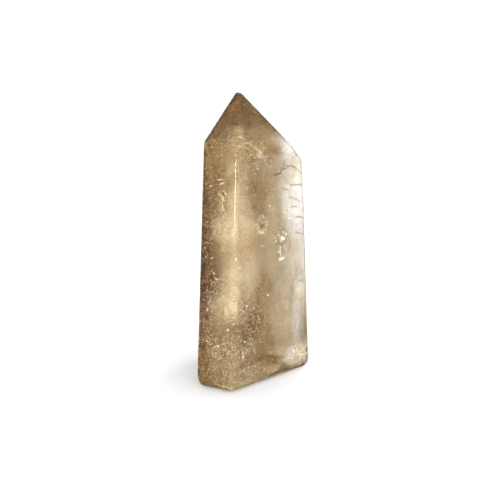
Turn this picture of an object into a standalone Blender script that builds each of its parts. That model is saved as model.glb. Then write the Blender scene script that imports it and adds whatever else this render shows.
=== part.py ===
# A polished quartz point: one crystal with six prism faces, six point faces and a flat sawn base.
# +Z runs up the crystal. The broad right face and the narrow front left face look towards -Y, and the origin
# is on the base, under the middle of the crystal's box.
import math

import bmesh
import bpy
from mathutils import Vector

# Driving dimensions, in metres and degrees.
FACES_MEET_AT = 0.101  # height at which the six point faces would meet in a sharp tip
TIP_OFFSET = 0.0044  # the tip stands this far left of the growth axis
FIRST_BEARING = -53.4  # the broad right face looks this way, counted from +X; the others follow at 60 degrees
TIP_WEAR = 0.0012  # how far the tip is worn down
TIP_WEAR_TILT = 6.0  # the worn spot slopes a little to the right
EDGE_SETBACK = 0.00045  # how far the polish takes back each edge between two faces
EDGE_SEGMENTS = 2
RIM_DEPTH = 0.0025  # the rim of the base is rounded in by this much
RIM_HEIGHT = 0.0046  # it starts to turn in this far above the base
RIM_SEGMENTS = 5
SMOOTH_BELOW = 26.0  # faces that meet at less than this are shaded as one surface

# Each prism face, counted round from above: how far its foot stands from the growth axis, how far it leans in
# towards the top, and how steeply the point face above it rises.
CRYSTAL_FACES = (
    (0.0146, 1.7, 53.0),  # broad right face
    (0.0216, 2.8, 47.3),  # right side
    (0.0180, 2.5, 53.0),  # back
    (0.0190, 2.5, 53.0),  # left of the back
    (0.0201, 2.6, 57.9),  # left side
    (0.0233, 3.3, 51.4),  # narrow front left face
)

QUARTZ_COLOR = (0.62, 0.50, 0.36, 1.0)
QUARTZ_ROUGHNESS = 0.06
QUARTZ_IOR = 1.544


def clear_scene():
    for obj in list(bpy.data.objects):
        bpy.data.objects.remove(obj, do_unlink=True)


def quartz_material():
    material = bpy.data.materials.new("quartz")
    material.use_nodes = True
    shader = material.node_tree.nodes["Principled BSDF"]
    shader.inputs["Base Color"].default_value = QUARTZ_COLOR
    shader.inputs["Roughness"].default_value = QUARTZ_ROUGHNESS
    shader.inputs["Metallic"].default_value = 0.0
    shader.inputs["IOR"].default_value = QUARTZ_IOR
    shader.inputs["Transmission Weight"].default_value = 1.0
    return material


def towards(bearing, tilt):
    """A unit vector on this bearing from +X, tilted up from level; both in degrees."""
    level = math.cos(math.radians(tilt))
    return Vector((
        level * math.cos(math.radians(bearing)),
        level * math.sin(math.radians(bearing)),
        math.sin(math.radians(tilt)),
    ))


def grind_flat(bm, point, outward):
    """Takes away all that lies outside the plane through point, and closes the cut with one flat face."""
    geometry = bm.verts[:] + bm.edges[:] + bm.faces[:]
    cut = bmesh.ops.bisect_plane(bm, geom=geometry, plane_co=point, plane_no=outward, clear_outer=True)
    outline = [item for item in cut["geom_cut"] if isinstance(item, bmesh.types.BMEdge)]
    bmesh.ops.holes_fill(bm, edges=outline)


def sharp_crystal(bm):
    """A block standing on the base plane, ground to the prism faces, the point faces and the worn tip."""
    bmesh.ops.create_cube(bm, size=FACES_MEET_AT)
    bmesh.ops.translate(bm, verts=bm.verts, vec=(0, 0, FACES_MEET_AT / 2))
    tip = Vector((-TIP_OFFSET, 0, FACES_MEET_AT))
    for turn, (distance, lean, rise) in enumerate(CRYSTAL_FACES):
        bearing = FIRST_BEARING + 60 * turn
        grind_flat(bm, distance * towards(bearing, 0), towards(bearing, lean))
        grind_flat(bm, tip, towards(bearing, 90 - rise))
    grind_flat(bm, tip - Vector((0, 0, TIP_WEAR)), towards(0, 90 - TIP_WEAR_TILT))


def is_rim_line(edge):
    """Whether the edge is one of the level lines that run round the rim of the base."""
    low, high = sorted(vert.co.z for vert in edge.verts)
    return high < 2 * RIM_HEIGHT and high - low < EDGE_SETBACK / 100


def round_edges(bm, edges, setback, segments):
    bmesh.ops.bevel(
        bm, geom=edges, offset=setback, segments=segments, profile=0.5, affect="EDGES", material=-1,
        clamp_overlap=True,
    )


def polish(bm):
    """Rounds the rim of the base, then every edge between two crystal faces, which runs down over the rim."""
    squash = RIM_DEPTH / RIM_HEIGHT  # makes the taller rounding a plain quarter circle while it is cut
    bmesh.ops.scale(bm, verts=bm.verts, vec=(1, 1, squash))
    round_edges(bm, [edge for edge in bm.edges if is_rim_line(edge)], RIM_DEPTH, RIM_SEGMENTS)
    bmesh.ops.scale(bm, verts=bm.verts, vec=(1, 1, 1 / squash))
    round_edges(bm, [edge for edge in bm.edges if not is_rim_line(edge)], EDGE_SETBACK, EDGE_SEGMENTS)


def centre_over_origin(bm):
    """Slides the crystal so that the middle of its box is over the origin; its base stays on z = 0."""
    for axis, step in enumerate((Vector((1, 0, 0)), Vector((0, 1, 0)))):
        places = [vert.co[axis] for vert in bm.verts]
        bmesh.ops.translate(bm, verts=bm.verts, vec=-step * (min(places) + max(places)) / 2)


def quartz_point():
    bm = bmesh.new()
    sharp_crystal(bm)
    polish(bm)
    centre_over_origin(bm)
    bmesh.ops.recalc_face_normals(bm, faces=bm.faces)
    mesh = bpy.data.meshes.new("quartz_point")
    bm.to_mesh(mesh)
    bm.free()
    mesh.shade_smooth()
    mesh.set_sharp_from_angle(angle=math.radians(SMOOTH_BELOW))
    mesh.materials.append(quartz_material())
    crystal = bpy.data.objects.new("quartz_point", mesh)
    bpy.context.scene.collection.objects.link(crystal)


clear_scene()
quartz_point()
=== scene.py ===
# Polished point of smoky tan quartz, cloudy and cracked inside, standing on its sawn base.
import math

import bmesh
import bpy
import numpy as np
from mathutils import Matrix, Vector, noise
from mathutils.bvhtree import BVHTree


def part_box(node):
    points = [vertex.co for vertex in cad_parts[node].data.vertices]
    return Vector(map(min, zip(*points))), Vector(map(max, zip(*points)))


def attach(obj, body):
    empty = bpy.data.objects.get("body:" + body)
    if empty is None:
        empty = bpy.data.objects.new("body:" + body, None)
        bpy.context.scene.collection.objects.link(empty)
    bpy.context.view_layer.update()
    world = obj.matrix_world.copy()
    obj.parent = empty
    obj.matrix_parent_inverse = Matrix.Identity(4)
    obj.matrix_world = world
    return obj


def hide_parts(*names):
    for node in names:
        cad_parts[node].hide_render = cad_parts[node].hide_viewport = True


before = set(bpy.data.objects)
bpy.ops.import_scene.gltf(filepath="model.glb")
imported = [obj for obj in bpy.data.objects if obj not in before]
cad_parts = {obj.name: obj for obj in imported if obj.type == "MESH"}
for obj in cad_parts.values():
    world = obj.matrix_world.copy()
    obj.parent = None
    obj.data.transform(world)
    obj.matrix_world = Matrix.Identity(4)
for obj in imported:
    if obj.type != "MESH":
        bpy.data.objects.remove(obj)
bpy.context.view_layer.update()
mm = 0.001

# camera, as the photo was taken: close in front and a little above the middle of the height
view = {
    "place": (-0.62 * mm, -144.55 * mm, 66.14 * mm),
    "tiltDown": 8.4,           # degrees below level
    "lens": 28.8,              # for a sensor 36 mm wide
    "sensor": 36,
    "side": 500,               # the picture is this many pixels each way
    "nearest": 5 * mm,         # nothing closer to the camera is drawn
}

def setCamera():
    data = bpy.data.cameras.new("viewCamera")
    data.lens = view["lens"]
    data.sensor_width = view["sensor"]
    data.clip_start = view["nearest"]
    camera = bpy.data.objects.new("viewCamera", data)
    camera.location = view["place"]
    camera.rotation_euler = (math.radians(90 - view["tiltDown"]), 0, 0)
    bpy.context.scene.collection.objects.link(camera)
    bpy.context.scene.camera = camera
    return camera

camera = setCamera()
print("camera set")

# studio: a pale floor, a pale sky and soft lamps
studio = {
    "floorSize": 40.0,
    "floorSides": 96,
    "floorDrop": 0.1 * mm,     # keeps the paper clear of the base
    "floorColor": (0.81, 0.82, 0.83, 1),
    "floorRoughness": 0.9,
    "floorShine": 0.1,
    "skyColor": (0.98, 0.99, 1.0, 1),
    "skyStrength": 1.05,       # as the camera sees it
    "skyFromLeft": 0.70,       # as the crystal is lit by it, brighter from the right
    "skyFromRight": 1.90,
    "softBox": {"place": (-0.35, -0.80, 0.20), "size": 0.5, "power": 7, "color": (1, 0.98, 0.95)},
    "roomSize": 5.0,
    "roomColor": (0.30, 0.28, 0.25, 1),  # the dim room that the polished faces reflect
    "edgeLamp": {"place": (-0.07, -0.66, 0.205), "size": 0.2, "power": 1.5, "color": (1, 0.97, 0.93)},
    "lampBack": {"place": (0.6, 0.9, 0.35), "size": 0.6, "power": 3, "color": (1, 0.98, 0.96)},
}

def makeFloor():
    bm = bmesh.new()
    bmesh.ops.create_circle(bm, segments=studio["floorSides"], radius=studio["floorSize"] / 2, cap_ends=True)
    bmesh.ops.translate(bm, verts=bm.verts, vec=(0, 0, -studio["floorDrop"]))
    mesh = bpy.data.meshes.new("floor")
    bm.to_mesh(mesh)
    bm.free()
    material = bpy.data.materials.new("floorPaper")
    material.use_nodes = True
    shader = material.node_tree.nodes["Principled BSDF"]
    shader.inputs["Base Color"].default_value = studio["floorColor"]
    shader.inputs["Roughness"].default_value = studio["floorRoughness"]
    shader.inputs["Specular IOR Level"].default_value = studio["floorShine"]
    mesh.materials.append(material)
    floor = bpy.data.objects.new("floor", mesh)
    bpy.context.scene.collection.objects.link(floor)
    floor.visible_glossy = False  # the polished faces mirror the dim room and not the pale floor

# the sky lights the crystal, but its faces mirror a dim room
def makeRoom():
    bm = bmesh.new()
    bmesh.ops.create_icosphere(bm, subdivisions=3, radius=studio["roomSize"])
    mesh = bpy.data.meshes.new("room")
    bm.to_mesh(mesh)
    bm.free()
    material = bpy.data.materials.new("roomWall")
    material.use_nodes = True
    nodes = material.node_tree.nodes
    glow = nodes.new("ShaderNodeEmission")
    glow.inputs["Color"].default_value = studio["roomColor"]
    material.node_tree.links.new(glow.outputs[0], nodes["Material Output"].inputs["Surface"])
    mesh.materials.append(material)
    room = bpy.data.objects.new("room", mesh)
    bpy.context.scene.collection.objects.link(room)
    room.visible_camera = False
    room.visible_diffuse = False
    room.visible_transmission = False
    room.visible_shadow = False

def makeLamp(name):
    values = studio[name]
    data = bpy.data.lights.new(name, "AREA")
    data.shape = "DISK"
    data.size = values["size"]
    data.energy = values["power"]
    data.color = values["color"]
    lamp = bpy.data.objects.new(name, data)
    lamp.location = values["place"]
    lamp.rotation_euler = (-Vector(values["place"])).to_track_quat("-Z", "Y").to_euler()
    bpy.context.scene.collection.objects.link(lamp)
    return lamp

def lightStudio():
    world = bpy.data.worlds.new("studioSky")
    bpy.context.scene.world = world
    world.use_nodes = True
    sky = world.node_tree.nodes["Background"]
    sky.inputs["Color"].default_value = studio["skyColor"]
    nodes, links = world.node_tree.nodes, world.node_tree.links
    way = nodes.new("ShaderNodeTexCoord")
    parts = nodes.new("ShaderNodeSeparateXYZ")
    slope = nodes.new("ShaderNodeMapRange")
    slope.inputs["From Min"].default_value = -1
    slope.inputs["To Min"].default_value = studio["skyFromLeft"]
    slope.inputs["To Max"].default_value = studio["skyFromRight"]
    ray = nodes.new("ShaderNodeLightPath")
    strength = nodes.new("ShaderNodeMix")
    strength.inputs["B"].default_value = studio["skyStrength"]
    links.new(way.outputs["Generated"], parts.inputs[0])
    links.new(parts.outputs["X"], slope.inputs["Value"])
    links.new(slope.outputs[0], strength.inputs["A"])
    links.new(ray.outputs["Is Camera Ray"], strength.inputs["Factor"])
    links.new(strength.outputs["Result"], sky.inputs["Strength"])
    softBox = makeLamp("softBox")
    softBox.visible_glossy = False
    makeLamp("lampBack")
    edgeLamp = makeLamp("edgeLamp")
    edgeLamp.visible_diffuse = False
    edgeLamp.visible_transmission = False
    colors = bpy.context.scene.view_settings
    colors.view_transform = "Standard"
    colors.look = "None"

makeFloor()
makeRoom()
lightStudio()
print("studio lit")

# the clear quartz
quartz = {
    "ior": 1.544,
    "roughness": 0.05,
    "absorbColor": (0.645, 0.485, 0.165, 1),
    "absorbDensity": 39,
    "wobbleScale": 90,         # slow waves that a hand polish leaves on the faces
    "wobbleDetail": 1,
    "wobbleHeight": 0.015 * mm,
    "mergeWithin": 0.002 * mm,
    "flatWithin": 0.3,         # degrees between triangles that are one flat face
    "wideFace": 60 * mm * mm,  # smaller faces are the rounded edges, shaded smooth
}

def quartzMaterial():
    material = bpy.data.materials.new("quartz")
    material.use_nodes = True
    nodes, links = material.node_tree.nodes, material.node_tree.links
    shader = nodes["Principled BSDF"]
    shader.inputs["Base Color"].default_value = (1, 1, 1, 1)
    shader.inputs["Roughness"].default_value = quartz["roughness"]
    shader.inputs["IOR"].default_value = quartz["ior"]
    shader.inputs["Transmission Weight"].default_value = 1
    place = nodes.new("ShaderNodeTexCoord")
    waves = nodes.new("ShaderNodeTexNoise")
    waves.inputs["Scale"].default_value = quartz["wobbleScale"]
    waves.inputs["Detail"].default_value = quartz["wobbleDetail"]
    bump = nodes.new("ShaderNodeBump")
    bump.inputs["Strength"].default_value = 1
    bump.inputs["Distance"].default_value = quartz["wobbleHeight"]
    links.new(place.outputs["Object"], waves.inputs["Vector"])
    links.new(waves.outputs["Fac"], bump.inputs["Height"])
    links.new(bump.outputs["Normal"], shader.inputs["Normal"])
    inner = nodes.new("ShaderNodeVolumeAbsorption")
    inner.inputs["Color"].default_value = quartz["absorbColor"]
    inner.inputs["Density"].default_value = quartz["absorbDensity"]
    links.new(inner.outputs[0], nodes["Material Output"].inputs["Volume"])
    return material

def finishPiece(name, bm, material):
    mesh = bpy.data.meshes.new(name)
    bm.to_mesh(mesh)
    bm.free()
    mesh.materials.append(material)
    piece = bpy.data.objects.new(name, mesh)
    bpy.context.scene.collection.objects.link(piece)
    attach(piece, "root")
    return piece

def makeCrystal():
    bm = bmesh.new()
    bm.from_mesh(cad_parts["quartz_point"].data)
    bmesh.ops.remove_doubles(bm, verts=bm.verts, dist=quartz["mergeWithin"])
    bmesh.ops.dissolve_limit(bm, angle_limit=math.radians(quartz["flatWithin"]),
                             verts=bm.verts, edges=bm.edges)
    for face in bm.faces:
        face.smooth = face.calc_area() < quartz["wideFace"]
    body = finishPiece("crystalBody", bm, quartzMaterial())
    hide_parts("quartz_point")
    return body

crystal = makeCrystal()
print("crystal made,", len(crystal.data.polygons), "faces")

# where things lie inside the crystal
inside = {
    "wideFace": 40 * mm * mm,  # faces larger than this bound the inside, bevels are smaller
    "sameWay": 0.9999,         # polygons whose normals agree this well are one face
}

def wideFaces():
    planes = []
    for polygon in crystal.data.polygons:
        for plane in planes:
            if polygon.normal.dot(plane["normal"]) > inside["sameWay"]:
                plane["area"] += polygon.area
                break
        else:
            planes.append({"normal": polygon.normal.copy(), "point": polygon.center.copy(),
                           "area": polygon.area})
    return [plane for plane in planes if plane["area"] > inside["wideFace"]]

boundingPlanes = wideFaces()
planeNormals = np.array([plane["normal"] for plane in boundingPlanes])
planeOffsets = np.array([plane["normal"].dot(plane["point"]) for plane in boundingPlanes])
crystalTree = BVHTree.FromPolygons([v.co for v in crystal.data.vertices],
                                   [tuple(p.vertices) for p in crystal.data.polygons])

# how far each point is from the nearest face
def depthOf(points):
    return (planeOffsets - points @ planeNormals.T).min(axis=1)

def throughPixel(pixel):
    focal = view["side"] * view["lens"] / view["sensor"]
    look = Vector((pixel[0] - view["side"] / 2, view["side"] / 2 - pixel[1], -focal))
    return (camera.rotation_euler.to_matrix() @ look).normalized()

# the place that the camera sees at this pixel of the picture, this deep behind the polished face
def insideAt(pixel, deep):
    look = throughPixel(pixel)
    hit, normal, _, _ = crystalTree.ray_cast(camera.location, look)
    if hit is None:
        return None
    slant = -look.dot(normal)
    bend = 1 / quartz["ior"]
    inward = bend * look + (bend * slant - math.sqrt(1 - bend * bend * (1 - slant * slant))) * normal
    return hit + inward * deep

def smoothStep(value):
    value = np.clip(value, 0, 1)
    return value * value * (3 - 2 * value)

# clouds: soft blobs that say where the haze is thick. Each stands where the camera sees its pixel, this
# deep inside, and reaches this far across, in depth and up; those with a place are on the sides that the
# photo hides.
def cloudField(blobs):
    middles = np.array([insideAt(blob["pixel"], blob["deep"]) if "pixel" in blob else blob["place"]
                        for blob in blobs.values()])
    reaches = np.array([blob["reach"] for blob in blobs.values()])
    strengths = np.array([blob["strength"] for blob in blobs.values()])
    def field(points):
        apart = (points[:, None, :] - middles[None]) / reaches[None]
        return 1 - (1 - strengths * np.exp(-(apart ** 2).sum(axis=2))).prod(axis=1)
    return field

# closed thin sheets below every wide face: bent by slow noise, tilted a little and cut off inside the
# other faces
sheets = {
    "half": (34 * mm, 62 * mm),  # half the width and height, before it is cut
    "thickness": 0.03 * mm,
    "clearOfFaces": 0.25 * mm,
    "top": 97.5 * mm,
    "fadeNearFaces": 1.2 * mm,
    "bendLength": 14 * mm,
    "drift": 50,               # how far apart the noise is read for one sheet and another
    "tilt": 3.0,               # degrees, at most
    "clearBelow": 0.04,        # where the haze is thinner than this, the sheet is left out
    "roughness": 0.6,
    "cloudDetail": 6,          # of the noise that makes the haze patchy
    "cloudRoughness": 0.66,
}

def cutInside(bm):
    cuts = [(plane["point"] - plane["normal"] * sheets["clearOfFaces"], plane["normal"])
            for plane in boundingPlanes]
    cuts.append((Vector((0, 0, sheets["top"])), Vector((0, 0, 1))))
    for point, normal in cuts:
        bmesh.ops.bisect_plane(bm, geom=bm.verts[:] + bm.edges[:] + bm.faces[:],
                               plane_co=point, plane_no=normal, clear_outer=True)

def addMesh(whole, bm):
    part = bpy.data.meshes.new("part")
    bm.to_mesh(part)
    bm.free()
    whole.from_mesh(part)
    bpy.data.meshes.remove(part)

def hazeAt(points, field):
    return field(points) * smoothStep(depthOf(points) / sheets["fadeNearFaces"])

# takes out the points where two parts of a sheet touch only at a corner, so that the thin sheet closes
def dropPinched(bm):
    pinched = True
    while pinched:
        pinched = [vert for vert in bm.verts if sum(edge.is_boundary for edge in vert.link_edges) > 2]
        bmesh.ops.delete(bm, geom=pinched, context="VERTS")

def makeSheets(name, deep, bend, field, seed, cells, material):
    rng = np.random.default_rng(seed)
    whole = bmesh.new()
    for plane in boundingPlanes:
        bm = bmesh.new()
        bmesh.ops.create_grid(bm, x_segments=cells[0], y_segments=cells[1], size=1)
        drift = Vector(rng.uniform(-sheets["drift"], sheets["drift"], 3))
        for vert in bm.verts:
            spot = Vector((vert.co.x * sheets["half"][0], vert.co.y * sheets["half"][1], 0))
            spot.z = bend * noise.noise(spot / sheets["bendLength"] + drift)
            vert.co = spot
        tilt = [math.radians(angle) for angle in rng.uniform(-sheets["tilt"], sheets["tilt"], 2)]
        turn = plane["normal"].to_track_quat("Z", "Y").to_matrix().to_4x4()
        turn = turn @ Matrix.Rotation(tilt[0], 4, "X") @ Matrix.Rotation(tilt[1], 4, "Y")
        middle = Matrix.Translation(plane["point"] - plane["normal"] * deep)
        bmesh.ops.transform(bm, matrix=middle @ turn, verts=bm.verts)
        cutInside(bm)
        points = np.array([vert.co for vert in bm.verts])
        empty = hazeAt(points, field) < sheets["clearBelow"]
        bmesh.ops.delete(bm, geom=[vert for vert, bare in zip(bm.verts, empty) if bare], context="VERTS")
        dropPinched(bm)
        bmesh.ops.solidify(bm, geom=bm.faces[:], thickness=sheets["thickness"])
        addMesh(whole, bm)
    piece = finishPiece(name, whole, material)
    points = np.empty(len(piece.data.vertices) * 3)
    piece.data.vertices.foreach_get("co", points)
    amount = np.maximum(hazeAt(points.reshape(-1, 3), field) - sheets["clearBelow"], 0)
    fade = piece.data.attributes.new("fade", "FLOAT", "POINT")
    fade.data.foreach_set("value", amount)
    piece.data.shade_smooth()

def cloudMaterial(name, values):
    material = bpy.data.materials.new(name)
    material.use_nodes = True
    nodes, links = material.node_tree.nodes, material.node_tree.links
    shader = nodes["Principled BSDF"]
    shader.inputs["Roughness"].default_value = sheets["roughness"]
    shader.inputs["Specular IOR Level"].default_value = 0
    shader.inputs["Emission Color"].default_value = values["color"]
    shader.inputs["Emission Strength"].default_value = values.get("glow", 0)
    place = nodes.new("ShaderNodeTexCoord")
    cloud = nodes.new("ShaderNodeTexNoise")
    cloud.inputs["Scale"].default_value = values["scale"]
    cloud.inputs["Detail"].default_value = sheets["cloudDetail"]
    cloud.inputs["Roughness"].default_value = sheets["cloudRoughness"]
    reach = nodes.new("ShaderNodeMapRange")
    reach.inputs["From Min"].default_value = values["thinBelow"]
    reach.inputs["From Max"].default_value = values["fullAbove"]
    reach.inputs["To Min"].default_value = values["thin"]
    reach.inputs["To Max"].default_value = values["full"]
    fade = nodes.new("ShaderNodeAttribute")
    fade.attribute_name = "fade"
    product = nodes.new("ShaderNodeMath")
    product.operation = "MULTIPLY"
    mix = nodes.new("ShaderNodeMix")
    mix.data_type = "RGBA"
    mix.inputs["A"].default_value = values["secondColor"]
    mix.inputs["B"].default_value = values["color"]
    links.new(place.outputs["Object"], cloud.inputs["Vector"])
    links.new(cloud.outputs["Fac"], reach.inputs["Value"])
    links.new(reach.outputs[0], product.inputs[0])
    links.new(fade.outputs["Fac"], product.inputs[1])
    links.new(product.outputs[0], shader.inputs["Alpha"])
    links.new(cloud.outputs["Fac"], mix.inputs["Factor"])
    links.new(mix.outputs["Result"], shader.inputs["Base Color"])
    return material

# how far a blob reaches across and in depth, and how far up and down
def reachOf(across, up):
    return (across * mm, across * mm, up * mm)

# milk: healed cracks full of tiny bubbles; the edge, strip and corner blobs are painted light for the pale
# backdrop seen through the clear quartz at the right edge. A layer has its depth, how far it bends, and its
# seed.
milk = {
    "material": {
        "scale": 260, "thinBelow": 0.36, "fullAbove": 0.64, "thin": 0.12, "full": 0.62,
        "color": (0.97, 0.90, 0.70, 1), "secondColor": (0.93, 0.79, 0.52, 1),
    },
    "cells": (44, 80),
    "layers": {"milkNear": (1.6 * mm, 2.0 * mm, 21), "milkMiddle": (4.2 * mm, 4.0 * mm, 22)},
    "blobs": {
        "upper": {"pixel": (230, 229), "deep": 3 * mm, "reach": reachOf(6.0, 6.0), "strength": 0.9},
        "lower": {"pixel": (230, 301), "deep": 3 * mm, "reach": reachOf(6.0, 7.0), "strength": 0.95},
        "between": {"pixel": (242, 256), "deep": 3 * mm, "reach": reachOf(5.6, 10.0), "strength": 0.8},
        "shoulder": {"pixel": (236, 190), "deep": 3 * mm, "reach": reachOf(5.0, 10.0), "strength": 0.5},
        "foot": {"pixel": (226, 355), "deep": 4 * mm, "reach": reachOf(8.0, 6.0), "strength": 0.3},
        # painted light: the backdrop seen through the clear quartz at the right edge
        "edge": {"pixel": (294, 188), "deep": 2 * mm, "reach": reachOf(4.0, 10.0), "strength": 0.9},
        "strip": {"pixel": (301, 291), "deep": 1 * mm, "reach": reachOf(2.0, 4.0), "strength": 0.7},
        "rightShoulder": {"pixel": (284, 144), "deep": 2 * mm, "reach": reachOf(5.0, 4.0), "strength": 0.5},
        "highRight": {"pixel": (273, 190), "deep": 2.5 * mm, "reach": reachOf(3.4, 14.0), "strength": 0.4},
        "corner": {"pixel": (299, 352), "deep": 2 * mm, "reach": reachOf(3.0, 3.0), "strength": 0.9},
        "behindLeft": {"place": (-9 * mm, 10 * mm, 34 * mm), "reach": reachOf(9.0, 14.0), "strength": 0.8},
        "behindRight": {"place": (6 * mm, 14 * mm, 58 * mm), "reach": reachOf(8.0, 12.0), "strength": 0.5},
        "right": {"place": (16 * mm, 6 * mm, 24 * mm), "reach": reachOf(6.0, 10.0), "strength": 0.5},
    },
}

# tan: a thin haze that fills most of the crystal
tan = {
    "material": {
        "scale": 180, "thinBelow": 0.36, "fullAbove": 0.64, "thin": 0.10, "full": 0.42,
        "color": (0.82, 0.65, 0.36, 1), "secondColor": (0.62, 0.47, 0.23, 1),
    },
    "cells": (34, 62),
    "layers": {"tanNear": (2.6 * mm, 3.0 * mm, 31), "tanMiddle": (6.0 * mm, 5.0 * mm, 32)},
    "blobs": {
        "left": {"pixel": (216, 252), "deep": 4 * mm, "reach": reachOf(8.0, 30.0), "strength": 0.72},
        "middle": {"pixel": (252, 240), "deep": 5 * mm, "reach": reachOf(7.0, 32.0), "strength": 0.55},
        "lowRight": {"pixel": (284, 330), "deep": 3 * mm, "reach": reachOf(7.0, 12.0), "strength": 0.6},
        "shoulder": {"pixel": (264, 142), "deep": 2 * mm, "reach": reachOf(8.0, 5.4), "strength": 0.62},
        "leftShoulder": {"pixel": (209, 148), "deep": 3 * mm, "reach": reachOf(6.0, 5.0), "strength": 0.8},
        "lowLeft": {"pixel": (225, 330), "deep": 3 * mm, "reach": reachOf(9.0, 14.0), "strength": 0.3},
        "foot": {"pixel": (250, 374), "deep": 2 * mm, "reach": reachOf(16.0, 5.0), "strength": 0.65},
        "low": {"pixel": (250, 345), "deep": 6 * mm, "reach": reachOf(12.0, 12.0), "strength": 0.6},
        "tip": {"pixel": (244, 128), "deep": 6 * mm, "reach": reachOf(12.0, 12.0), "strength": 0.7},
        "back": {"place": (-4 * mm, 12 * mm, 45 * mm), "reach": reachOf(14.0, 34.0), "strength": 0.7},
        "right": {"place": (14 * mm, 8 * mm, 20 * mm), "reach": reachOf(8.0, 16.0), "strength": 0.5},
    },
}

# rust: brown patches at the left edge and above the foot; the tip blobs make the point darker
rust = {
    "material": {
        "scale": 320, "thinBelow": 0.40, "fullAbove": 0.60, "thin": 0.25, "full": 0.90,
        "color": (0.50, 0.29, 0.10, 1), "secondColor": (0.22, 0.125, 0.035, 1),
    },
    "cells": (44, 80),
    "layers": {"rustNear": (1.0 * mm, 1.0 * mm, 41), "rustMiddle": (3.2 * mm, 3.0 * mm, 42)},
    "blobs": {
        "leftEdge": {"pixel": (205, 266), "deep": 1.5 * mm, "reach": reachOf(3.2, 35.0), "strength": 0.85},
        "leftBack": {"place": (-20 * mm, -4 * mm, 42 * mm), "reach": reachOf(5.0, 36.0), "strength": 0.8},
        "tipLeft": {"pixel": (222, 126), "deep": 2 * mm, "reach": reachOf(5.0, 8.0), "strength": 0.5},
        "tipTop": {"pixel": (240, 104), "deep": 2 * mm, "reach": reachOf(5.0, 6.6), "strength": 0.8},
        "tipRight": {"pixel": (249, 124), "deep": 2 * mm, "reach": reachOf(3.6, 5.0), "strength": 0.45},
        "band": {"pixel": (254, 180), "deep": 2 * mm, "reach": reachOf(2.8, 11.0), "strength": 0.34},
        "lowBand": {"pixel": (250, 328), "deep": 2 * mm, "reach": reachOf(5.4, 7.0), "strength": 0.85},
        "leftMiddle": {"pixel": (210, 262), "deep": 1.5 * mm, "reach": reachOf(3.4, 7.6), "strength": 0.95},
        "foot": {"pixel": (266, 353), "deep": 2 * mm, "reach": reachOf(4.0, 6.6), "strength": 0.65},
        "back": {"place": (-12 * mm, 8 * mm, 30 * mm), "reach": reachOf(7.0, 20.0), "strength": 0.5},
        "backTip": {"place": (-2 * mm, 6 * mm, 84 * mm), "reach": reachOf(8.0, 9.0), "strength": 0.6},
        "side": {"place": (16 * mm, 6 * mm, 12 * mm), "reach": reachOf(6.0, 9.0), "strength": 0.5},
    },
}

# nearly white sheets close under the faces, along the right edge: painted light for the pale backdrop seen
# through the clear quartz, with a faint painted glow
paintedBackLight = {
    "material": {
        "scale": 170, "thinBelow": 0.34, "fullAbove": 0.58, "thin": 0.6, "full": 1.0,
        # the glow is painted light
        "color": (0.94, 0.97, 1.0, 1), "secondColor": (0.93, 0.94, 0.94, 1), "glow": 0.2,
    },
    "cells": (68, 124),
    "layers": {"paintedBackLightNear": (0.9 * mm, 0.5 * mm, 11), "paintedBackLightMiddle": (1.9 * mm, 1.4 * mm, 12)},
    "blobs": {
        "edgeHigh": {"pixel": (296, 183), "deep": 1 * mm, "reach": reachOf(4.4, 9.6), "strength": 0.95},
        "edgeMiddle": {"pixel": (297, 216), "deep": 1 * mm, "reach": reachOf(3.0, 7.0), "strength": 0.5},
        "face": {"pixel": (288, 196), "deep": 1 * mm, "reach": reachOf(3.0, 8.0), "strength": 0.3},
        "strip": {"pixel": (301, 290), "deep": 1 * mm, "reach": reachOf(2.4, 4.2), "strength": 0.85},
        "shoulder": {"pixel": (290, 153), "deep": 1 * mm, "reach": reachOf(3.6, 3.2), "strength": 0.6},
        "slope": {"pixel": (280, 140), "deep": 1 * mm, "reach": reachOf(4.6, 3.2), "strength": 0.14},
        "lowEdge": {"pixel": (299, 322), "deep": 1 * mm, "reach": reachOf(2.8, 9.0), "strength": 0.6},
        "corner": {"pixel": (300, 354), "deep": 1 * mm, "reach": reachOf(4.8, 3.0), "strength": 1.0},
        "behind": {"place": (-4 * mm, 16 * mm, 44 * mm), "reach": reachOf(7.0, 12.0), "strength": 0.25},
    },
}

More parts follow.
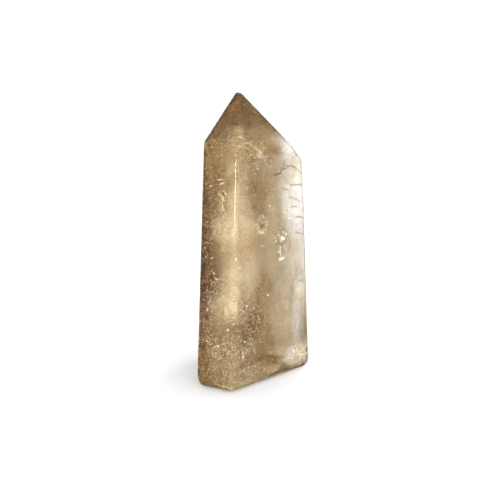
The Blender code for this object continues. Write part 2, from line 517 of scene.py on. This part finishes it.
# cream: warmer haze under the front; the patches at the right foot are painted light for the backdrop seen
# through the quartz, and the whole layer has a faint painted glow
cream = {
    "material": {
        "scale": 200, "thinBelow": 0.34, "fullAbove": 0.60, "thin": 0.45, "full": 0.95,
        "color": (0.98, 0.90, 0.72, 1), "secondColor": (0.93, 0.79, 0.57, 1), "glow": 0.1,
    },
    "cells": (56, 102),
    "layers": {"creamNear": (1.1 * mm, 0.8 * mm, 61), "creamMiddle": (2.3 * mm, 1.6 * mm, 62)},
    "blobs": {
        # the corner, cornerLow and lowRight blobs are painted light at the right foot
        "corner": {"pixel": (299, 354), "deep": 1 * mm, "reach": reachOf(5.0, 3.2), "strength": 1.0},
        "upper": {"pixel": (234, 230), "deep": 1 * mm, "reach": reachOf(9.0, 3.4), "strength": 0.44},
        "between": {"pixel": (252, 258), "deep": 1 * mm, "reach": reachOf(5.0, 4.6), "strength": 0.16},
        "middle": {"pixel": (244, 281), "deep": 1 * mm, "reach": reachOf(4.7, 6.0), "strength": 0.6},
        "rightMiddle": {"pixel": (271, 262), "deep": 1 * mm, "reach": reachOf(4.0, 8.0), "strength": 0.14},
        "tip": {"pixel": (262, 134), "deep": 1 * mm, "reach": reachOf(4.0, 3.0), "strength": 0.1},
        "lower": {"pixel": (228, 309), "deep": 1 * mm, "reach": reachOf(6.4, 3.8), "strength": 0.74},
        "lowLeft": {"pixel": (217, 328), "deep": 1 * mm, "reach": reachOf(3.4, 6.0), "strength": 0.22},
        "cornerLow": {"pixel": (288, 360), "deep": 1 * mm, "reach": reachOf(4.0, 2.0), "strength": 0.6},
        "lowRight": {"pixel": (292, 332), "deep": 1 * mm, "reach": reachOf(5.0, 9.0), "strength": 0.2},
        "high": {"pixel": (240, 200), "deep": 1 * mm, "reach": reachOf(3.8, 6.0), "strength": 0.24},
        "highRight": {"pixel": (272, 218), "deep": 1 * mm, "reach": reachOf(3.4, 14.0), "strength": 0.14},
    },
}

def makeClouds(name, values):
    material = cloudMaterial(name, values["material"])
    field = cloudField(values["blobs"])
    for layer, (deep, bend, seed) in values["layers"].items():
        makeSheets(layer, deep, bend, field, seed, values["cells"], material)

makeClouds("paintedBackLight", paintedBackLight)
makeClouds("cream", cream)
makeClouds("milk", milk)
makeClouds("tan", tan)
makeClouds("rust", rust)
print("clouds made")

# many small closed specks joined in one mesh: each a three-sided pyramid, pressed flat and turned at random
speck = {
    "sides": 3,
    "height": 1.3,             # for a radius of 1
    "lift": 0.3,               # from the middle of its height towards the middle of its bulk
    "clearOfFaces": 1.2,       # times its size
}

def randomTurns(count, rng):
    axes, _ = np.linalg.qr(rng.normal(size=(count, 3, 3)))
    flips = np.linalg.det(axes) < 0
    axes[flips, :, 0] *= -1
    return axes

def joinSpecks(name, places, sizes, flatness, rng, material):
    clear = depthOf(places) > sizes * speck["clearOfFaces"]
    places, sizes = places[clear], sizes[clear]
    bm = bmesh.new()
    bmesh.ops.create_cone(bm, segments=speck["sides"], cap_ends=True, radius1=1, radius2=0,
                          depth=speck["height"])
    bmesh.ops.translate(bm, verts=bm.verts, vec=(0, 0, speck["lift"]))
    shape = np.array([vert.co for vert in bm.verts]) * (1, 1, flatness)
    corners = np.array([[vert.index for vert in face.verts] for face in bm.faces])
    bm.free()
    turns = randomTurns(len(places), rng)
    points = places[:, None, :] + np.einsum("nij,kj->nki", turns, shape) * sizes[:, None, None]
    faces = (corners[None] + (np.arange(len(places)) * len(shape))[:, None, None]).reshape(-1, 3)
    mesh = bpy.data.meshes.new(name)
    mesh.from_pydata(points.reshape(-1, 3).tolist(), [], faces.tolist())
    mesh.materials.append(material)
    specks = bpy.data.objects.new(name, mesh)
    bpy.context.scene.collection.objects.link(specks)
    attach(specks, "root")

def speckMaterial(name, values):
    material = bpy.data.materials.new(name)
    material.use_nodes = True
    shader = material.node_tree.nodes["Principled BSDF"]
    shader.inputs["Base Color"].default_value = values["color"]
    shader.inputs["Roughness"].default_value = values["roughness"]
    shader.inputs["Specular IOR Level"].default_value = 0
    # the glow is painted light: glints on the bright flakes and grain, and light caught along the threads
    shader.inputs["Emission Color"].default_value = values["color"]
    shader.inputs["Emission Strength"].default_value = values.get("glow", 0)
    return material

# specks are scattered between two depths below the faces, most where the blobs are strong, in clumps
scatter = {
    "draws": 60000,            # at a time
    "clumpBase": 0.25,         # the share that stays between a clump and a gap
}

def clumps(points, values):
    bumps = np.array([noise.noise(Vector(point) / values["clump"]) for point in points])
    return np.clip(scatter["clumpBase"] + values["contrast"] * bumps, 0, 1)

def scatterPlaces(kind, values, rng):
    field = cloudField(values["blobs"])
    low, high = (np.array(corner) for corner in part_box("quartz_point"))
    found = []
    count = 0
    while count < values["count"]:
        points = rng.uniform(low, high, size=(scatter["draws"], 3))
        deep = depthOf(points)
        points = points[(deep > kind["deep"][0]) & (deep < kind["deep"][1])]
        points = points[rng.random(len(points)) < np.maximum(field(points), kind["everywhere"])]
        points = points[rng.random(len(points)) < clumps(points, values)]
        found.append(points)
        count += len(points)
    return np.concatenate(found)[:values["count"]]

def makeSpecks(kind):
    for name, values in kind["pieces"].items():
        rng = np.random.default_rng(values["seed"])
        places = scatterPlaces(kind, values, rng)
        sizes = rng.uniform(*values["size"], size=len(places))
        joinSpecks(name, places, sizes, kind["flatness"], rng, speckMaterial(name, values))

# dust: the fine bubbles of the haze, thick in wisps where the clouds are
dust = {
    "deep": (0.2 * mm, 30 * mm),
    "everywhere": 0,
    "flatness": 0.6,
    "pieces": {
        "milkDust": {"blobs": milk["blobs"], "count": 30000, "size": (0.04 * mm, 0.12 * mm),
                     "clump": 2.2 * mm, "contrast": 2.2, "seed": 51,
                     "color": (0.98, 0.91, 0.70, 1), "roughness": 0.5},
        "tanDust": {"blobs": tan["blobs"], "count": 14000, "size": (0.04 * mm, 0.11 * mm),
                    "clump": 2.0 * mm, "contrast": 2.2, "seed": 52,
                    "color": (0.84, 0.63, 0.33, 1), "roughness": 0.5},
        "rustDust": {"blobs": rust["blobs"], "count": 9000, "size": (0.05 * mm, 0.17 * mm),
                     "clump": 1.2 * mm, "contrast": 2.2, "seed": 53,
                     "color": (0.30, 0.16, 0.06, 1), "roughness": 0.5},
    },
}

makeSpecks(dust)
print("dust made")

# grain: coarse bright and dark specks just under the faces, thickest where the crystal looks sugary
sugar = {
    "left": {"pixel": (206, 284), "deep": 1 * mm, "reach": reachOf(2.8, 30.0), "strength": 0.8},
    "wisps": {"pixel": (215, 190), "deep": 1 * mm, "reach": reachOf(4.0, 10.0), "strength": 0.14},
    "knot": {"pixel": (216, 284), "deep": 1 * mm, "reach": reachOf(3.0, 4.0), "strength": 0.6},
    "lowMiddle": {"pixel": (248, 320), "deep": 1 * mm, "reach": reachOf(5.0, 9.0), "strength": 0.8},
    "foot": {"pixel": (222, 352), "deep": 1 * mm, "reach": reachOf(8.0, 6.0), "strength": 0.55},
    "lowFoot": {"pixel": (240, 376), "deep": 1 * mm, "reach": reachOf(12.0, 4.0), "strength": 0.3},
    "shoulder": {"pixel": (254, 155), "deep": 1 * mm, "reach": reachOf(5.0, 5.0), "strength": 0.6},
    "tip": {"pixel": (218, 137), "deep": 1 * mm, "reach": reachOf(4.0, 4.0), "strength": 0.3},
    "ring": {"pixel": (262, 224), "deep": 1 * mm, "reach": reachOf(2.5, 3.0), "strength": 0.5},
    "star": {"pixel": (280, 245), "deep": 1 * mm, "reach": reachOf(2.5, 5.0), "strength": 0.4},
    "corner": {"pixel": (299, 355), "deep": 1 * mm, "reach": reachOf(3.0, 3.0), "strength": 0.8},
    "back": {"place": (-6 * mm, 14 * mm, 40 * mm), "reach": reachOf(12.0, 26.0), "strength": 0.5},
}
grain = {
    "deep": (0.3 * mm, 2.2 * mm),
    "everywhere": 0.03,
    "flatness": 0.5,
    "pieces": {                # dark specks fill the gaps between the clumps of bright ones
        # the bright grain glows a little: painted glints
        "brightGrain": {"blobs": sugar, "count": 9000, "size": (0.07 * mm, 0.22 * mm),
                        "clump": 1.2 * mm, "contrast": 2.6, "seed": 81,
                        "color": (1.0, 0.90, 0.66, 1), "roughness": 0.4, "glow": 0.2},
        "darkGrain": {"blobs": sugar, "count": 10000, "size": (0.08 * mm, 0.24 * mm),
                      "clump": 1.2 * mm, "contrast": -2.6, "seed": 82,
                      "color": (0.17, 0.085, 0.03, 1), "roughness": 0.4},
    },
}

makeSpecks(grain)
print("grain made")

# flakes stand in clusters, in small spots and in streams along a path. Pixels and spreads are in the picture,
# depths and sizes in mm.
flakeFlatness = 0.35

# glitter: bright flakes, glowing a little as painted glints of the lamp
glitter = {
    "color": (1.0, 0.95, 0.80, 1), "roughness": 0.3, "glow": 0.5, "seed": 61,
    "clusters": {
        "leftHigh": {"pixel": (208, 216), "spread": (3, 16), "deep": (0.3, 2.5), "count": 70,
                     "size": (0.06, 0.22)},
        "leftMiddle": {"pixel": (207, 262), "spread": (3, 16), "deep": (0.3, 2.5), "count": 190,
                       "size": (0.06, 0.26)},
        "leftLow": {"pixel": (206, 315), "spread": (3, 12), "deep": (0.3, 2.0), "count": 110,
                    "size": (0.06, 0.26)},
        "leftKnot": {"pixel": (216, 284), "spread": (4, 6), "deep": (0.3, 2.0), "count": 80,
                     "size": (0.06, 0.24)},
        "footLeft": {"pixel": (214, 348), "spread": (6, 7), "deep": (0.3, 2.5), "count": 110,
                     "size": (0.06, 0.26)},
        "lowMiddle": {"pixel": (249, 314), "spread": (6, 7), "deep": (0.4, 3.0), "count": 190,
                      "size": (0.06, 0.24)},
        "lowRight": {"pixel": (250, 340), "spread": (9, 9), "deep": (0.4, 3.0), "count": 90,
                     "size": (0.06, 0.24)},
        "fracture": {"pixel": (261, 155), "spread": (5, 4), "deep": (0.5, 1.6), "count": 110,
                     "size": (0.06, 0.20)},
        "tipGlint": {"pixel": (234, 135), "spread": (6, 3.0), "deep": (0.4, 1.4), "count": 80,
                     "size": (0.05, 0.16)},
        "starHalo": {"pixel": (282, 236), "spread": (6, 5), "deep": (0.4, 1.4), "count": 70,
                     "size": (0.06, 0.18)},
        "footCorner": {"pixel": (298, 352), "spread": (4, 4), "deep": (0.3, 0.8), "count": 170,
                       "size": (0.08, 0.28)},
        "around": {"pixel": (245, 250), "spread": (26, 60), "deep": (0.5, 6.0), "count": 400,
                   "size": (0.05, 0.16)},
    },
    "streams": {
        "wispTop": {"path": ((217, 180), (223, 179.5)), "spread": 0.5, "count": 70, "size": (0.05, 0.12)},
        "wispSecond": {"path": ((220, 184), (224, 183)), "spread": 0.5, "count": 50, "size": (0.05, 0.12)},
        "wispHook": {"path": ((219, 194), (223, 198), (222, 206), (224, 212)), "spread": 0.9, "count": 220,
                     "size": (0.05, 0.15)},
        "wispBranch": {"path": ((223, 191), (227, 195)), "spread": 0.5, "count": 60, "size": (0.05, 0.14)},
        "shoulderDash": {"path": ((239.5, 137), (243, 137.6)), "spread": 0.35, "count": 40,
                         "size": (0.06, 0.12)},
        "shoulderLow": {"path": ((238.8, 146.5), (241.6, 146.4)), "spread": 0.3, "count": 30,
                        "size": (0.06, 0.12)},
        "veilTop": {"path": ((244, 143), (250, 143.5), (256, 149), (263, 153)), "spread": 0.8, "count": 120,
                    "size": (0.05, 0.14)},
        "veilMiddle": {"path": ((256, 158.5), (261, 156), (264, 160), (268, 166)), "spread": 1.2, "count": 60,
                       "size": (0.05, 0.14)},
        "veilLow": {"path": ((255.5, 151), (259, 153.5), (263, 158)), "spread": 1.0, "count": 60,
                    "size": (0.05, 0.15)},
        "veilBranch": {"path": ((262, 149.5), (260.5, 153), (258, 157)), "spread": 0.8, "count": 20,
                       "size": (0.05, 0.14)},
        "ring": {"path": ((258, 219), (262, 215), (266, 219), (267, 226), (265, 231), (259, 231), (257, 225)),
                 "spread": 1.0, "count": 130, "size": (0.06, 0.19)},
        "ringFoot": {"path": ((259, 232), (262, 233.4), (265.5, 232)), "spread": 0.7, "count": 50,
                     "size": (0.08, 0.22)},
        "starTop": {"path": ((280.5, 237.5), (284.3, 239)), "spread": 0.8, "count": 46,
                    "size": (0.14, 0.36)},
        "starBeam": {"path": ((281, 240), (280, 250), (281, 257)), "spread": 0.35, "count": 90,
                     "size": (0.08, 0.2)},
        "starFoot": {"path": ((280, 259), (284, 258)), "spread": 0.8, "count": 46, "size": (0.14, 0.34)},
        "barLeft": {"path": ((223.5, 337), (224, 352)), "spread": 0.5, "count": 60, "size": (0.05, 0.13)},
        "barMiddle": {"path": ((231.5, 336), (232, 352)), "spread": 0.4, "count": 36, "size": (0.05, 0.12)},
        "barRight": {"path": ((242.5, 351), (243, 359)), "spread": 0.4, "count": 70, "size": (0.05, 0.14)},
        "dashLow": {"path": ((251, 343), (255.5, 354)), "spread": 0.5, "count": 50, "size": (0.05, 0.14)},
    },
    "streamDeep": (0.35, 1.2),
    "spots": [(211, 186), (207, 243), (205, 248), (206, 257), (212, 258), (236, 259), (207, 309),
              (207, 341), (245, 342), (243, 357), (253, 332), (268, 295), (257.4, 169), (289, 209),
              (289.5, 218), (283, 212), (275, 238), (278.5, 235), (283, 232), (278.5, 252), (276, 241),
              (286, 234), (240, 268), (214, 273), (216, 279), (218, 346), (228, 330), (262, 246),
              (270, 206), (247, 306)],
    "spot": {"spread": (0.55, 0.5), "deep": (0.35, 0.8), "count": 12, "size": (0.1, 0.24)},
}

# shade: dark flakes at the left edge, and thin dark lines along the rims, painted shade for the dark edges
# that refraction makes
shade = {
    "color": (0.12, 0.06, 0.03, 1), "roughness": 0.5, "seed": 71,
    "clusters": {
        "leftHigh": {"pixel": (206, 202), "spread": (1.8, 16), "deep": (0.3, 1.4), "count": 200,
                     "size": (0.1, 0.3)},
        "leftMiddle": {"pixel": (205, 263), "spread": (1.8, 13), "deep": (0.3, 1.4), "count": 480,
                       "size": (0.1, 0.32)},
        "leftLow": {"pixel": (204, 304), "spread": (1.9, 13), "deep": (0.3, 1.4), "count": 300,
                    "size": (0.1, 0.32)},
        "leftFoot": {"pixel": (203, 350), "spread": (2.2, 10), "deep": (0.3, 1.4), "count": 140,
                     "size": (0.1, 0.3)},
        "leftKnot": {"pixel": (216, 286), "spread": (4, 6), "deep": (0.8, 2.5), "count": 70,
                     "size": (0.06, 0.2)},
        "footLeft": {"pixel": (214, 348), "spread": (6, 7), "deep": (0.8, 3.0), "count": 90,
                     "size": (0.06, 0.2)},
        "lowMiddle": {"pixel": (247, 322), "spread": (7, 8), "deep": (1.0, 4.0), "count": 160,
                      "size": (0.06, 0.2)},
        "leftDark": {"pixel": (204.4, 262), "spread": (1.6, 9), "deep": (0.3, 1.4), "count": 360,
                     "size": (0.1, 0.3)},
        "ringHeart": {"pixel": (261.8, 226.5), "spread": (0.9, 1.6), "deep": (0.4, 0.9), "count": 40,
                      "size": (0.1, 0.3)},
        "spotHigh": {"pixel": (256, 188), "spread": (0.8, 1.2), "deep": (0.6, 1.2), "count": 16,
                     "size": (0.08, 0.24)},
        "spotLow": {"pixel": (254, 207), "spread": (1.0, 1.0), "deep": (0.6, 1.2), "count": 24,
                    "size": (0.08, 0.24)},
        "spotRight": {"pixel": (297, 225.5), "spread": (0.8, 0.8), "deep": (0.4, 0.9), "count": 14,
                      "size": (0.08, 0.2)},
        "band": {"pixel": (255, 180), "spread": (5, 14), "deep": (0.8, 3.0), "count": 80,
                 "size": (0.05, 0.16)},
        "footCorner": {"pixel": (298, 353), "spread": (5, 4), "deep": (0.3, 0.9), "count": 90,
                       "size": (0.08, 0.22)},
        "tip": {"pixel": (236, 115), "spread": (9, 9), "deep": (0.6, 3.0), "count": 160,
                "size": (0.05, 0.16)},
        "tipDark": {"pixel": (247, 112), "spread": (1.6, 6), "deep": (0.6, 2.0), "count": 130,
                    "size": (0.06, 0.18)},
        "tipSpot": {"pixel": (246, 134.5), "spread": (1.2, 1.5), "deep": (0.5, 1.2), "count": 60,
                    "size": (0.08, 0.2)},
        "tipCorner": {"pixel": (215, 134), "spread": (2.6, 2.4), "deep": (0.5, 1.5), "count": 70,
                      "size": (0.08, 0.2)},
    },
    "streams": {
        # the rim streams are painted shade along the outline
        "leftRim": {"path": ((205, 147), (204, 200), (202.8, 250), (201.4, 300), (200.4, 350)), "spread": 0.5,
                    "count": 1500, "size": (0.08, 0.22)},
        "tipRim": {"path": ((205.6, 142.3), (236.2, 96)), "spread": 0.3, "count": 800,
                   "size": (0.06, 0.18)},
        "rightRim": {"path": ((306, 285), (307.2, 320), (307.4, 348), (300, 357.5)), "spread": 0.3,
                     "count": 260, "size": (0.05, 0.15)},
        "footRim": {"path": ((206, 384), (216, 388), (240, 387), (270, 375), (296, 366)), "spread": 0.5,
                    "count": 500, "size": (0.06, 0.16)},
    },
    "streamDeep": (0.3, 0.9),
}

# ember: reddish flakes at the left edge and in the tip
ember = {
    "color": (0.50, 0.21, 0.10, 1), "roughness": 0.5, "seed": 75,
    "clusters": {
        "leftHigh": {"pixel": (206, 205), "spread": (2.0, 18), "deep": (0.3, 1.6), "count": 260,
                     "size": (0.1, 0.3)},
        "leftMiddle": {"pixel": (206, 258), "spread": (3.2, 16), "deep": (0.3, 1.6), "count": 640,
                       "size": (0.1, 0.34)},
        "leftLow": {"pixel": (204, 312), "spread": (2.2, 13), "deep": (0.3, 1.6), "count": 360,
                    "size": (0.1, 0.34)},
        "leftFoot": {"pixel": (204, 352), "spread": (2.4, 9), "deep": (0.3, 1.6), "count": 180,
                     "size": (0.1, 0.3)},
        "knot": {"pixel": (215, 284), "spread": (3.4, 6), "deep": (0.4, 1.6), "count": 120,
                 "size": (0.1, 0.26)},
        "lowMiddle": {"pixel": (226, 345), "spread": (7, 7), "deep": (0.4, 2.0), "count": 120,
                      "size": (0.08, 0.24)},
        "tipLeft": {"pixel": (222, 128), "spread": (6, 8), "deep": (0.4, 2.0), "count": 140,
                    "size": (0.08, 0.2)},
        "tipTop": {"pixel": (236, 106), "spread": (4, 6), "deep": (0.4, 2.0), "count": 220,
                   "size": (0.08, 0.22)},
        "tipSeam": {"pixel": (247, 122), "spread": (2.0, 9), "deep": (0.4, 1.6), "count": 300,
                    "size": (0.08, 0.22)},
        "tipPatch": {"pixel": (223, 126), "spread": (2.0, 2.6), "deep": (0.4, 1.4), "count": 130,
                     "size": (0.08, 0.24)},
        "tipCorner": {"pixel": (214, 134), "spread": (3.0, 2.6), "deep": (0.4, 1.6), "count": 120,
                      "size": (0.08, 0.22)},
        "shoulder": {"pixel": (208, 147), "spread": (3, 4), "deep": (0.3, 3.0), "count": 90,
                     "size": (0.08, 0.2)},
    },
}

# amber: paler flakes deeper below the left edge
amber = {
    "color": (0.66, 0.44, 0.21, 1), "roughness": 0.5, "seed": 77,
    "clusters": {
        "leftHigh": {"pixel": (206, 200), "spread": (2.6, 20), "deep": (1.0, 5.0), "count": 700,
                     "size": (0.12, 0.4)},
        "leftMiddle": {"pixel": (205, 262), "spread": (3.0, 18), "deep": (1.0, 5.0), "count": 1400,
                       "size": (0.12, 0.42)},
        "leftLow": {"pixel": (204, 318), "spread": (2.7, 16), "deep": (1.0, 5.0), "count": 1100,
                    "size": (0.12, 0.42)},
        "leftFoot": {"pixel": (204, 355), "spread": (3.0, 10), "deep": (0.8, 4.0), "count": 600,
                     "size": (0.12, 0.4)},
        "shoulder": {"pixel": (206.5, 146), "spread": (1.6, 2.4), "deep": (0.3, 2.6), "count": 220,
                     "size": (0.12, 0.4)},
    },
}

def placesAround(cluster, rng):
    places = []
    while len(places) < cluster["count"]:
        place = insideAt(rng.normal(cluster["pixel"], cluster["spread"]), rng.uniform(*cluster["deep"]) * mm)
        if place is not None:
            places.append(place)
    return places

def placesAlong(stream, deep, rng):
    path = np.array(stream["path"], dtype=float)
    lengths = np.linalg.norm(np.diff(path, axis=0), axis=1)
    marks = np.concatenate([[0], np.cumsum(lengths)])
    spots = rng.uniform(0, marks[-1], stream["count"])
    pixels = np.stack([np.interp(spots, marks, path[:, axis]) for axis in (0, 1)], axis=1)
    pixels += rng.normal(0, stream["spread"], pixels.shape)
    places = [insideAt(pixel, rng.uniform(*deep) * mm) for pixel in pixels]
    return [place for place in places if place is not None]

def makeFlakes(name, values):
    rng = np.random.default_rng(values["seed"])
    places, sizes = [], []
    def add(found, size):
        places.extend(found)
        sizes.extend(rng.uniform(*size, size=len(found)) * mm)
    for cluster in values["clusters"].values():
        add(placesAround(cluster, rng), cluster["size"])
    for pixel in values.get("spots", []):
        add(placesAround({**values["spot"], "pixel": pixel}, rng), values["spot"]["size"])
    for stream in values.get("streams", {}).values():
        add(placesAlong(stream, values["streamDeep"], rng), stream["size"])
    joinSpecks(name, np.array(places), np.array(sizes), flakeFlatness, rng, speckMaterial(name, values))

makeFlakes("brightFlakes", glitter)
makeFlakes("darkFlakes", shade)
makeFlakes("redFlakes", ember)
makeFlakes("amberFlakes", amber)
print("flakes made")

# ribbons: thin curved sheets that start just under the front face and follow a line of pixels. Each runs
# inwards by its own number of mm, and slopes down as it does.
ribbonSmooth = 0.8

def makeRibbon(values, ribbons):
    bm = bmesh.new()
    row = [bm.verts.new(insideAt(pixel, ribbons["near"])) for pixel in values["path"]]
    edges = [bm.edges.new(pair) for pair in zip(row, row[1:])]
    step = Vector((0, 1, -values["drop"])) * values["inward"] * mm / ribbons["rows"]
    for _ in range(ribbons["rows"]):
        grown = bmesh.ops.extrude_edge_only(bm, edges=edges)["geom"]
        front = [part for part in grown if isinstance(part, bmesh.types.BMVert)]
        edges = [part for part in grown if isinstance(part, bmesh.types.BMEdge)]
        bmesh.ops.translate(bm, verts=front, vec=step)
    bmesh.ops.subdivide_edges(bm, edges=bm.edges[:], cuts=1, smooth=ribbonSmooth, use_grid_fill=True)
    cutInside(bm)
    bmesh.ops.solidify(bm, geom=bm.faces[:], thickness=ribbons["thickness"])
    return bm

def makeRibbons(name, ribbons):
    whole = bmesh.new()
    for values in ribbons["paths"].values():
        addMesh(whole, makeRibbon(values, ribbons))
    piece = finishPiece(name, whole, speckMaterial(name, ribbons))
    piece.data.shade_smooth()

# cracks: brown, and seen nearly edge on
cracks = {
    "color": (0.45, 0.37, 0.27, 1), "roughness": 0.25, "thickness": 0.035 * mm, "rows": 4,
    "near": 0.35 * mm,
    "paths": {
        "crackA": {"path": ((290, 184.5), (294, 185.3), (298, 184), (302, 183.5)), "inward": 0.6,
                   "drop": 0.45},
        "crackB": {"path": ((290, 185), (295, 184), (299, 185.5), (301.5, 185)), "inward": 0.6, "drop": 0.35},
        "crackC": {"path": ((281, 187.5), (285, 189), (290, 189.5)), "inward": 0.6, "drop": 0.5},
        "crackD": {"path": ((289, 197), (294, 198), (298, 200), (302, 201)), "inward": 0.6, "drop": 0.5},
        "crackE": {"path": ((296, 218), (298, 216), (300, 216.5), (303, 217.5)), "inward": 0.6, "drop": 0.5},
        "crackF": {"path": ((295, 232), (299, 232.5), (303, 234)), "inward": 0.6, "drop": 0.5},
        "crackG": {"path": ((298, 279.5), (302, 281), (305, 281.5)), "inward": 0.6, "drop": 0.5},
        "crackH": {"path": ((283, 177), (286, 180), (289, 182)), "inward": 0.5, "drop": 0.4},
        "crackI": {"path": ((291, 207), (295, 206), (298, 207.5)), "inward": 0.5, "drop": 0.4},
        "shellLeft": {"path": ((266, 167), (270, 171), (274, 174.5)), "inward": 1.5, "drop": 0.14},
        "shellMiddle": {"path": ((273, 175), (277, 173.5), (281, 172.5)), "inward": 2.5, "drop": 0.14},
        "shellRise": {"path": ((280, 171), (283, 168.5), (286, 168)), "inward": 2.0, "drop": 0.14},
        "shellTop": {"path": ((286, 166.5), (290, 165.5), (293, 166)), "inward": 1.5, "drop": 0.14},
        "shellEnd": {"path": ((292, 165.5), (296, 168), (302, 173.5)), "inward": 0.8, "drop": 0.4},
        "shellSpur": {"path": ((283, 168), (284, 164), (285, 161)), "inward": 1.0, "drop": 0.2},
        "shellDrop": {"path": ((282, 173), (286, 178), (288, 182)), "inward": 1.0, "drop": 0.2},
    },
}

# threads: light caught along healed cracks
threads = {
    "color": (0.94, 0.86, 0.66, 1), "roughness": 0.4, "glow": 0.08, "thickness": 0.03 * mm, "rows": 2,
    "near": 0.5 * mm,
    "paths": {
        "veilTop": {"path": ((243, 143), (250, 143.5), (256, 148), (263, 153)), "inward": 0.1, "drop": 0.4},
        "veilRise": {"path": ((255, 158.5), (259, 155), (262, 153.5)), "inward": 0.1, "drop": 0.5},
        "veilFall": {"path": ((257, 151), (260, 157), (264, 161), (268, 166)), "inward": 0.1, "drop": 0.5},
        "veilSide": {"path": ((262, 158), (266, 156), (269, 157)), "inward": 0.15, "drop": 0.4},
        "wispTop": {"path": ((217, 180.5), (220, 179.3), (223, 180)), "inward": 0.2, "drop": 0.5},
        "wispHook": {"path": ((219, 193), (223, 197.5), (222, 204), (224, 211)), "inward": 0.15, "drop": 0.4},
        "wispBranch": {"path": ((222.5, 189), (225, 193), (225.5, 197)), "inward": 0.16, "drop": 0.4},
        "dashHigh": {"path": ((209.5, 185.7), (212.5, 186.3)), "inward": 0.15, "drop": 0.4},
        "dashLow": {"path": ((211, 257.6), (214, 258)), "inward": 0.15, "drop": 0.4},
        "shoulderDash": {"path": ((239, 137.2), (243, 137.4)), "inward": 0.15, "drop": 0.4},
    },
}

makeRibbons("cracks", cracks)
makeRibbons("threads", threads)
print("cracks made")

# light passes many thin sheets on its way through the crystal
scene = bpy.context.scene
scene.cycles.use_denoising = True
scene.cycles.max_bounces = 24
scene.cycles.transmission_bounces = 24
scene.cycles.glossy_bounces = 12
scene.cycles.diffuse_bounces = 8
scene.cycles.transparent_max_bounces = 64
